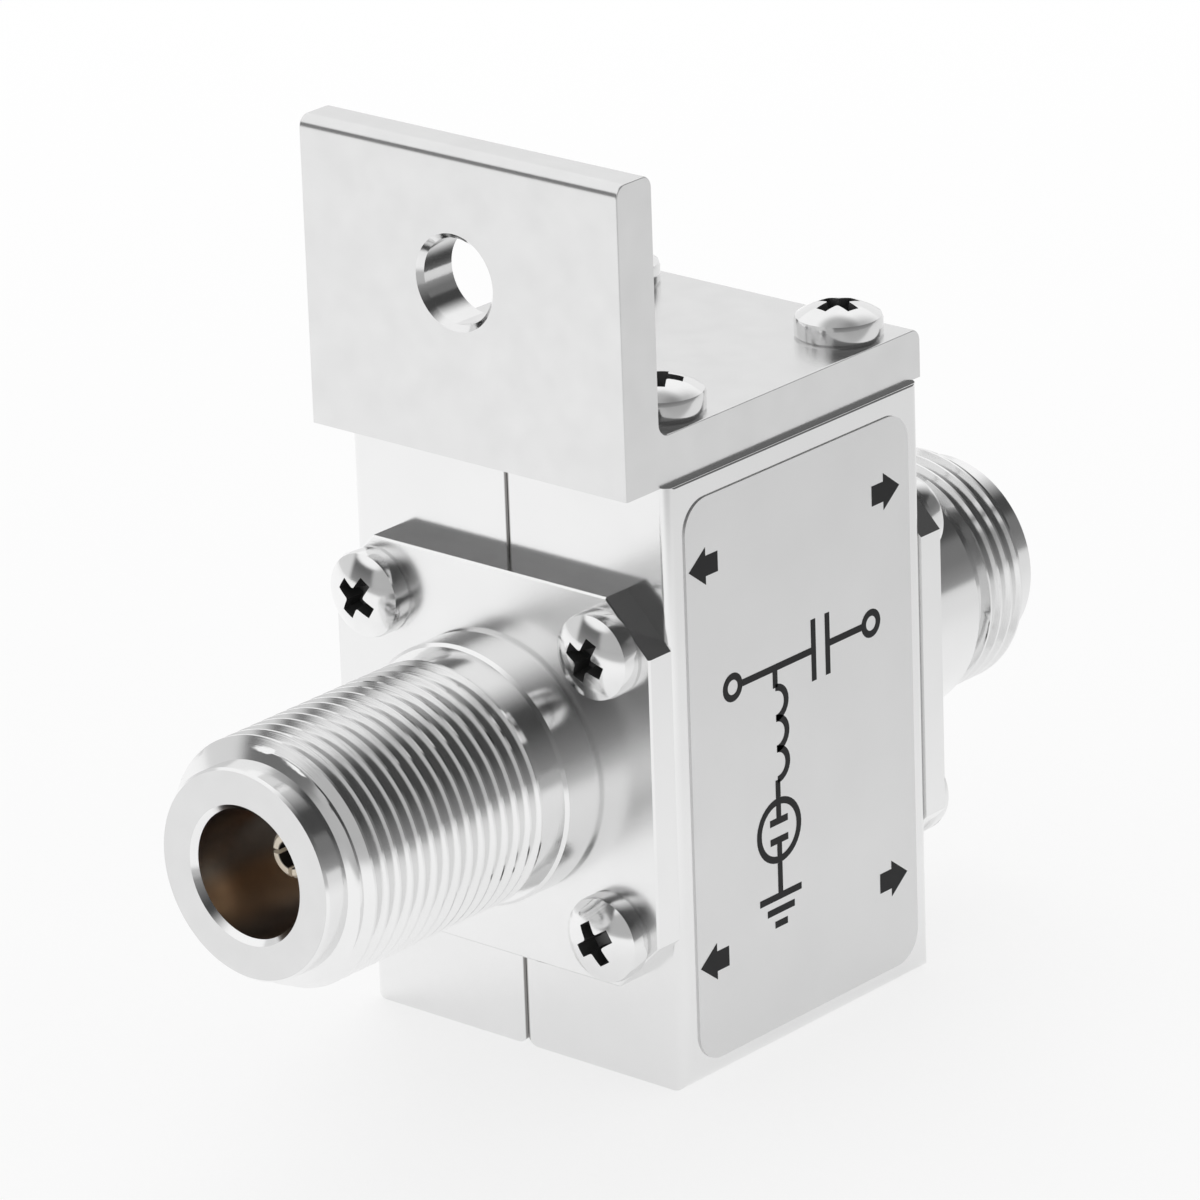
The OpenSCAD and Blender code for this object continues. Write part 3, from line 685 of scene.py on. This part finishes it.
# The label on the block's right side: a satin metallised film with round corners, stuck on.
# Its printed marks are four plain arrows, two to each end, and a circuit drawn in standard symbols:
# the line with its capacitor, and the coil and gas tube from the line to ground.
LABEL_CORNER = 2 * MM
PRINT_THICK = 0.012 * MM
label_low, label_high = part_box("side_label")
label_length = label_high.y - label_low.y
label_height = label_high.z - label_low.z
film_face = label_high.x - PRINT_THICK


def on_label(bm, points):
    """Lays flat drawn points (along the label, up the label) on the film's face."""
    lay = Matrix(((0, 0, 1, film_face), (1, 0, 0, label_low.y), (0, 1, 0, label_low.z), (0, 0, 0, 1)))
    bmesh.ops.transform(bm, matrix=lay, verts=points)


film = bmesh.new()
bmesh.ops.create_grid(film, x_segments=1, y_segments=1, size=0.5, matrix=Matrix.Translation((0.5, 0.5, 0)))
bmesh.ops.scale(film, vec=(label_length, label_height, 1), verts=film.verts)
bmesh.ops.bevel(film, geom=film.verts[:], offset=LABEL_CORNER, offset_type="OFFSET", segments=10, profile=0.5,
                affect="VERTICES", material=-1)
on_label(film, film.verts)
raised = bmesh.ops.extrude_face_region(film, geom=film.faces[:])["geom"]
film_back = [v for v in raised if isinstance(v, bmesh.types.BMVert)]
bmesh.ops.translate(film, vec=(label_low.x - film_face, 0, 0), verts=film_back)
bmesh.ops.recalc_face_normals(film, faces=film.faces)
label_film = new_finish("label_film", (0.79, 0.79, 0.79), 0.75, 0.36, cloud=(6 * MM, 0.05), spread=0.06,
                        grain=(0.12 * MM, 0.0015 * MM))
add_piece("label_film", film, [label_film], "label_film", "side_label")

ARROW_LENGTH = 2.7 * MM
ARROW_HEIGHT = 2.4 * MM
ARROW_TAIL = 1.3 * MM
ARROW_HEAD_SHARE = 0.58
ARROW_FRONT = 1.6 * MM
ARROW_REAR = 2.3 * MM
ARROW_DROP = 0.3 * MM
ARROW_LOW = 6.35 * MM
ARROW_HIGH = 31.95 * MM
STROKE = 0.45 * MM
LINE_UP = 23.5 * MM
LINE_FRONT = 4 * MM
LINE_REAR = 17.3 * MM
TERMINAL_R = 0.7 * MM
TERMINAL_STEPS = 24
CAPACITOR_AT = 12.4 * MM
CAPACITOR_GAP = 0.9 * MM
CAPACITOR_PLATE = 4 * MM
BRANCH_AT = 8 * MM
COIL_TOP = 22.2 * MM
COIL_BUMP = 1 * MM
COIL_BUMPS = 3
BUMP_STEPS = 14
TUBE_UP = 12.9 * MM
TUBE_R = 1.9 * MM
TUBE_STEPS = 40
TUBE_GAP = 0.8 * MM
TUBE_PLATE = 1.7 * MM
GROUND_UP = 8.6 * MM
GROUND_STEP = 0.9 * MM
GROUND_BARS = (4 * MM, 2.6 * MM, 1.2 * MM)
INK_SHEEN = 0.25
marks = bmesh.new()


def draw(points):
    """One printed patch with this outline, in label places."""
    marks.faces.new([marks.verts.new((along, up, 0)) for along, up in points])


def draw_bar(along, up):
    """One printed bar between two places along the label and two up it."""
    draw([(along[0], up[0]), (along[1], up[0]), (along[1], up[1]), (along[0], up[1])])


def draw_level(along, up):
    """A level stroke at a height."""
    draw_bar(along, (up - STROKE / 2, up + STROKE / 2))


def draw_upright(along, up):
    """An upright stroke between two heights."""
    draw_bar((along - STROKE / 2, along + STROKE / 2), up)


def draw_arc(along, up, radius, start, sweep, steps):
    """A stroke round a centre, from a start angle on, in degrees."""
    turns = [math.radians(start + sweep * i / steps) for i in range(steps + 1)]
    inner, outer = [[(along + reach * math.cos(turn), up + reach * math.sin(turn)) for turn in turns]
                    for reach in (radius - STROKE / 2, radius + STROKE / 2)]
    for i in range(steps):
        draw([inner[i], outer[i], outer[i + 1], inner[i + 1]])


def draw_arrow(along, up, way):
    """Block arrow that points along the label, to the front where way is -1."""
    tip = along + way * ARROW_LENGTH / 2
    neck = tip - way * ARROW_LENGTH * ARROW_HEAD_SHARE
    tail = tip - way * ARROW_LENGTH
    half = ARROW_HEIGHT / 2
    thin = ARROW_TAIL / 2
    draw([(tip, up), (neck, up + half), (neck, up + thin), (tail, up + thin),
          (tail, up - thin), (neck, up - thin), (neck, up - half)])


for up in (ARROW_LOW, ARROW_HIGH):
    draw_arrow(ARROW_FRONT, up, -1)
    draw_arrow(label_length - ARROW_REAR, up - ARROW_DROP, 1)
for along in (LINE_FRONT, LINE_REAR):
    draw_arc(along, LINE_UP, TERMINAL_R, 0, 360, TERMINAL_STEPS)
terminal_rim = TERMINAL_R + STROKE / 2
plate_front = CAPACITOR_AT - CAPACITOR_GAP / 2
plate_rear = CAPACITOR_AT + CAPACITOR_GAP / 2
draw_level((LINE_FRONT + terminal_rim, plate_front - STROKE), LINE_UP)
draw_level((plate_rear + STROKE, LINE_REAR - terminal_rim), LINE_UP)
for along in (plate_front - STROKE / 2, plate_rear + STROKE / 2):
    draw_upright(along, (LINE_UP - CAPACITOR_PLATE / 2, LINE_UP + CAPACITOR_PLATE / 2))
draw_upright(BRANCH_AT, (COIL_TOP, LINE_UP - STROKE / 2))
for bump in range(COIL_BUMPS):
    draw_arc(BRANCH_AT, COIL_TOP - (2 * bump + 1) * COIL_BUMP, COIL_BUMP, -90, 180, BUMP_STEPS)
tube_top = TUBE_UP + TUBE_R + STROKE / 2
tube_foot = TUBE_UP - TUBE_R - STROKE / 2
draw_upright(BRANCH_AT, (tube_top, COIL_TOP - 2 * COIL_BUMPS * COIL_BUMP))
draw_arc(BRANCH_AT, TUBE_UP, TUBE_R, 0, 360, TUBE_STEPS)
for way in (-1, 1):
    plate_up = TUBE_UP + way * (TUBE_GAP + STROKE) / 2
    draw_level((BRANCH_AT - TUBE_PLATE / 2, BRANCH_AT + TUBE_PLATE / 2), plate_up)
    stem = sorted((plate_up + way * STROKE / 2, TUBE_UP + way * (TUBE_R - STROKE / 2)))
    draw_upright(BRANCH_AT, stem)
draw_upright(BRANCH_AT, (GROUND_UP + STROKE / 2, tube_foot))
for step, width in enumerate(GROUND_BARS):
    draw_level((BRANCH_AT - width / 2, BRANCH_AT + width / 2), GROUND_UP - step * GROUND_STEP)
bmesh.ops.remove_doubles(marks, verts=marks.verts, dist=WELD)
on_label(marks, marks.verts)
raised = bmesh.ops.extrude_face_region(marks, geom=marks.faces[:])["geom"]
print_face = [v for v in raised if isinstance(v, bmesh.types.BMVert)]
bmesh.ops.translate(marks, vec=(PRINT_THICK, 0, 0), verts=print_face)
bmesh.ops.recalc_face_normals(marks, faces=marks.faces)
label_ink = new_finish("label_ink", (0.012, 0.012, 0.013), 0, 0.5, cloud=(1 * MM, 0.2))
label_ink.node_tree.nodes["Principled BSDF"].inputs["Specular IOR Level"].default_value = INK_SHEEN
add_piece("label_marks", marks, [label_ink], "label_film")

# The stage: a wide floor of white paper, which shows white and keeps the part's soft shadow.
# In reflections it is a little greyer towards the right and back, and dim some way out to the
# front right.
FLOOR_HALF = 12
SEEN_GLOW = 0.75
MIRRORED_GLOW = 0.55
GREY_WAY = Vector((0.66, 0.75, 0))
GREY_FROM = -0.02
GREY_TO = 0.12
GREY_LEVELS = (1.22, 0.77)
NEAR_WAY = Vector((0.75, -0.66, 0))
NEAR_EDGES = (0.09, 0.14)
NEAR_LEVELS = (1, 0.25)
PAPER_TONE = (0.92, 0.92, 0.92)
floor_bm = bmesh.new()
bmesh.ops.create_grid(floor_bm, x_segments=1, y_segments=1, size=FLOOR_HALF)
floor_mesh = bpy.data.meshes.new("floor")
floor_bm.to_mesh(floor_mesh)
floor_bm.free()
floor = bpy.data.objects.new("floor", floor_mesh)
bpy.context.scene.collection.objects.link(floor)
paper = bpy.data.materials.new("white_paper")
paper.use_nodes = True
paper_tree = paper.node_tree
paper_tree.nodes.clear()
paper_ray = paper_tree.nodes.new("ShaderNodeLightPath")
paper_place = paper_tree.nodes.new("ShaderNodeTexCoord")
paper_spot = paper_place.outputs["Object"]
mirrored_tone = two_way(paper_tree, "MULTIPLY",
                        slope_along(paper_tree, paper_spot, GREY_WAY, GREY_FROM, GREY_TO, GREY_LEVELS),
                        slope_along(paper_tree, paper_spot, NEAR_WAY, *NEAR_EDGES, NEAR_LEVELS))
tone = paper_tree.nodes.new("ShaderNodeMix")
tone.data_type = "FLOAT"
tone.inputs["A"].default_value = 1
paper_tree.links.new(paper_ray.outputs["Is Glossy Ray"], tone.inputs["Factor"])
paper_tree.links.new(mirrored_tone, tone.inputs["B"])
glow = paper_tree.nodes.new("ShaderNodeEmission")
paper_tree.links.new(tone.outputs["Result"], glow.inputs["Strength"])
matte = paper_tree.nodes.new("ShaderNodeBsdfDiffuse")
matte.inputs["Color"].default_value = (*PAPER_TONE, 1)
share = paper_tree.nodes.new("ShaderNodeMix")
share.data_type = "FLOAT"
share.inputs["A"].default_value = MIRRORED_GLOW
share.inputs["B"].default_value = SEEN_GLOW
paper_tree.links.new(paper_ray.outputs["Is Camera Ray"], share.inputs["Factor"])
seen = two_way(paper_tree, "MAXIMUM", paper_ray.outputs["Is Camera Ray"], paper_ray.outputs["Is Glossy Ray"])
seen = two_way(paper_tree, "MAXIMUM", seen, paper_ray.outputs["Is Transmission Ray"])
glow_share = two_way(paper_tree, "MULTIPLY", seen, share.outputs["Result"])
blend = paper_tree.nodes.new("ShaderNodeMixShader")
paper_tree.links.new(glow_share, blend.inputs["Fac"])
paper_tree.links.new(matte.outputs[0], blend.inputs[1])
paper_tree.links.new(glow.outputs[0], blend.inputs[2])
paper_out = paper_tree.nodes.new("ShaderNodeOutputMaterial")
paper_tree.links.new(blend.outputs[0], paper_out.inputs["Surface"])
floor_mesh.materials.append(paper)

# The room that the bright metal mirrors: a softbox above on the left, a bright wall behind,
# a wall on the left, and a dim panel in front that gives the threads their light and dark bands.
# The camera sees plain white, and the rest of the light comes evenly from all round.
SOFTBOX_RISE = (0.38, 0.45)
SOFTBOX_LEFT = (-0.40, 0.20)
SOFTBOX_LEVEL = 1.05
OVERHEAD = (0.85, 0.97)
OVERHEAD_SHARE = 0.45
WALL_FROM = Vector((-0.30, 0.90, 0.30))
WALL_EDGES = (0.2, 0.45)
WALL_LEVEL = 0.93
WALL_RIGHT = (0.02, 0.30)
WALL_RIGHT_LEVEL = 0.2
WALL_TOP = (0.40, 0.52)
LEFT_WALL_EDGES = (0.68, 0.82)
LEFT_WALL_LEVEL = 0.75
FRONT_PANEL_EDGES = (0.82, 0.92)
FRONT_PANEL_LEFT = (-0.3, -0.1)
FRONT_PANEL_LEVEL = 0.5
ROOM_LOW = 0.30
ROOM_HIGH = 0.06
ROOM_RISE = 0.5
FILL_LEVEL = 0.75
world = bpy.data.worlds.new("studio")
bpy.context.scene.world = world
world.use_nodes = True
room = world.node_tree
room.nodes.clear()
ray = room.nodes.new("ShaderNodeTexCoord")
way = ray.outputs["Generated"]
softbox = two_way(room, "MULTIPLY", slope_along(room, way, Vector((0, 0, 1)), *SOFTBOX_RISE, (0, SOFTBOX_LEVEL)),
                  slope_along(room, way, Vector((-1, 0, 0)), *SOFTBOX_LEFT, (0, 1)))
softbox = two_way(room, "MULTIPLY", softbox,
                  slope_along(room, way, Vector((0, 0, 1)), *OVERHEAD, (1, OVERHEAD_SHARE)))
wall = two_way(room, "MULTIPLY", slope_along(room, way, WALL_FROM, *WALL_EDGES, (0, WALL_LEVEL)),
               slope_along(room, way, Vector((1, 0, 0)), *WALL_RIGHT, (1, WALL_RIGHT_LEVEL)))
wall = two_way(room, "MULTIPLY", wall, slope_along(room, way, Vector((0, 0, 1)), *WALL_TOP, (1, 0)))
left_wall = slope_along(room, way, Vector((-1, 0, 0)), *LEFT_WALL_EDGES, (0, LEFT_WALL_LEVEL))
rest = slope_along(room, way, Vector((0, 0, 1)), 0, ROOM_RISE, (ROOM_LOW, ROOM_HIGH), kind="LINEAR")
front_panel = two_way(room, "MULTIPLY",
                      slope_along(room, way, Vector((0, -1, 0)), *FRONT_PANEL_EDGES, (0, FRONT_PANEL_LEVEL)),
                      slope_along(room, way, Vector((1, 0, 0)), *FRONT_PANEL_LEFT, (0, 1)))
walls = two_way(room, "MAXIMUM", two_way(room, "MAXIMUM", wall, left_wall), front_panel)
mirrored = room.nodes.new("ShaderNodeBackground")
room.links.new(two_way(room, "MAXIMUM", two_way(room, "MAXIMUM", softbox, walls), rest), mirrored.inputs["Color"])
fill = room.nodes.new("ShaderNodeBackground")
fill.inputs["Color"].default_value = (1, 1, 1, 1)
fill.inputs["Strength"].default_value = FILL_LEVEL
backdrop = room.nodes.new("ShaderNodeBackground")
backdrop.inputs["Color"].default_value = (1, 1, 1, 1)
path = room.nodes.new("ShaderNodeLightPath")
by_gloss = room.nodes.new("ShaderNodeMixShader")
room.links.new(path.outputs["Is Glossy Ray"], by_gloss.inputs["Fac"])
room.links.new(fill.outputs[0], by_gloss.inputs[1])
room.links.new(mirrored.outputs[0], by_gloss.inputs[2])
by_camera = room.nodes.new("ShaderNodeMixShader")
room.links.new(path.outputs["Is Camera Ray"], by_camera.inputs["Fac"])
room.links.new(by_gloss.outputs[0], by_camera.inputs[1])
room.links.new(backdrop.outputs[0], by_camera.inputs[2])
room_out = room.nodes.new("ShaderNodeOutputWorld")
room.links.new(by_camera.outputs[0], room_out.inputs["Surface"])

# The lamps: a large round softbox above, behind and on the left, which casts the soft shadow,
# and a narrow one on the camera's side that lights only the socket contact in the front mouth.
LAMP_FROM = Vector((-0.435, 0.532, 0.725))
LAMP_AWAY = 0.6
LAMP_SIZE = 0.5
LAMP_POWER = 1.1
lamp_data = bpy.data.lights.new("softbox", "AREA")
lamp_data.shape = "DISK"
lamp_data.size = LAMP_SIZE
lamp_data.energy = LAMP_POWER
lamp = bpy.data.objects.new("softbox", lamp_data)
lamp.location = LAMP_FROM * LAMP_AWAY
lamp.rotation_euler = LAMP_FROM.to_track_quat("Z", "Y").to_euler()
lamp.visible_glossy = False
bpy.context.scene.collection.objects.link(lamp)

SPOT_FROM = Vector((0.616, -0.705, 0.352))
SPOT_AWAY = 0.3
SPOT_CONE = math.radians(1.6)
SPOT_POWER = 2
SPOT_BLEND = 0.3
SPOT_SIZE = 0.005
spot_data = bpy.data.lights.new("socket_spot", "SPOT")
spot_data.energy = SPOT_POWER
spot_data.spot_size = SPOT_CONE
spot_data.spot_blend = SPOT_BLEND
spot_data.shadow_soft_size = SPOT_SIZE
spot = bpy.data.objects.new("socket_spot", spot_data)
spot.location = Vector((0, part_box("front_contact")[0].y, axis_height)) + SPOT_FROM * SPOT_AWAY
spot.rotation_euler = SPOT_FROM.to_track_quat("Z", "Y").to_euler()
spot.visible_glossy = False
bpy.context.scene.collection.objects.link(spot)

# The camera: a long lens from the front right and above, turned a little, as the photograph was taken.
# Its place was fitted with the sizes of the flange and the thread held.
VIEW_AZIMUTH = math.radians(41.16)
VIEW_ELEVATION = math.radians(20.6)
VIEW_ROLL = math.radians(-2.02)
VIEW_DISTANCE = 495.67 * MM
VIEW_TARGET = Vector((-3.348, 2.825, 24.882)) * MM
LENS = 240
SENSOR_WIDTH = 36
CLIP_START = 0.01
CLIP_END = 100
back = Vector((math.sin(VIEW_AZIMUTH) * math.cos(VIEW_ELEVATION),
               -math.cos(VIEW_AZIMUTH) * math.cos(VIEW_ELEVATION), math.sin(VIEW_ELEVATION)))
level_right = (-back).cross(Vector((0, 0, 1))).normalized()
level_up = level_right.cross(-back)
right = level_right * math.cos(VIEW_ROLL) + level_up * math.sin(VIEW_ROLL)
top = level_up * math.cos(VIEW_ROLL) - level_right * math.sin(VIEW_ROLL)
camera_data = bpy.data.cameras.new("camera")
camera_data.lens = LENS
camera_data.sensor_width = SENSOR_WIDTH
camera_data.clip_start = CLIP_START
camera_data.clip_end = CLIP_END
camera = bpy.data.objects.new("camera", camera_data)
turned = Matrix((right, top, back)).transposed().to_4x4()
camera.matrix_world = Matrix.Translation(VIEW_TARGET + back * VIEW_DISTANCE) @ turned
bpy.context.scene.collection.objects.link(camera)
bpy.context.scene.camera = camera
bpy.context.scene.view_settings.view_transform = "Standard"
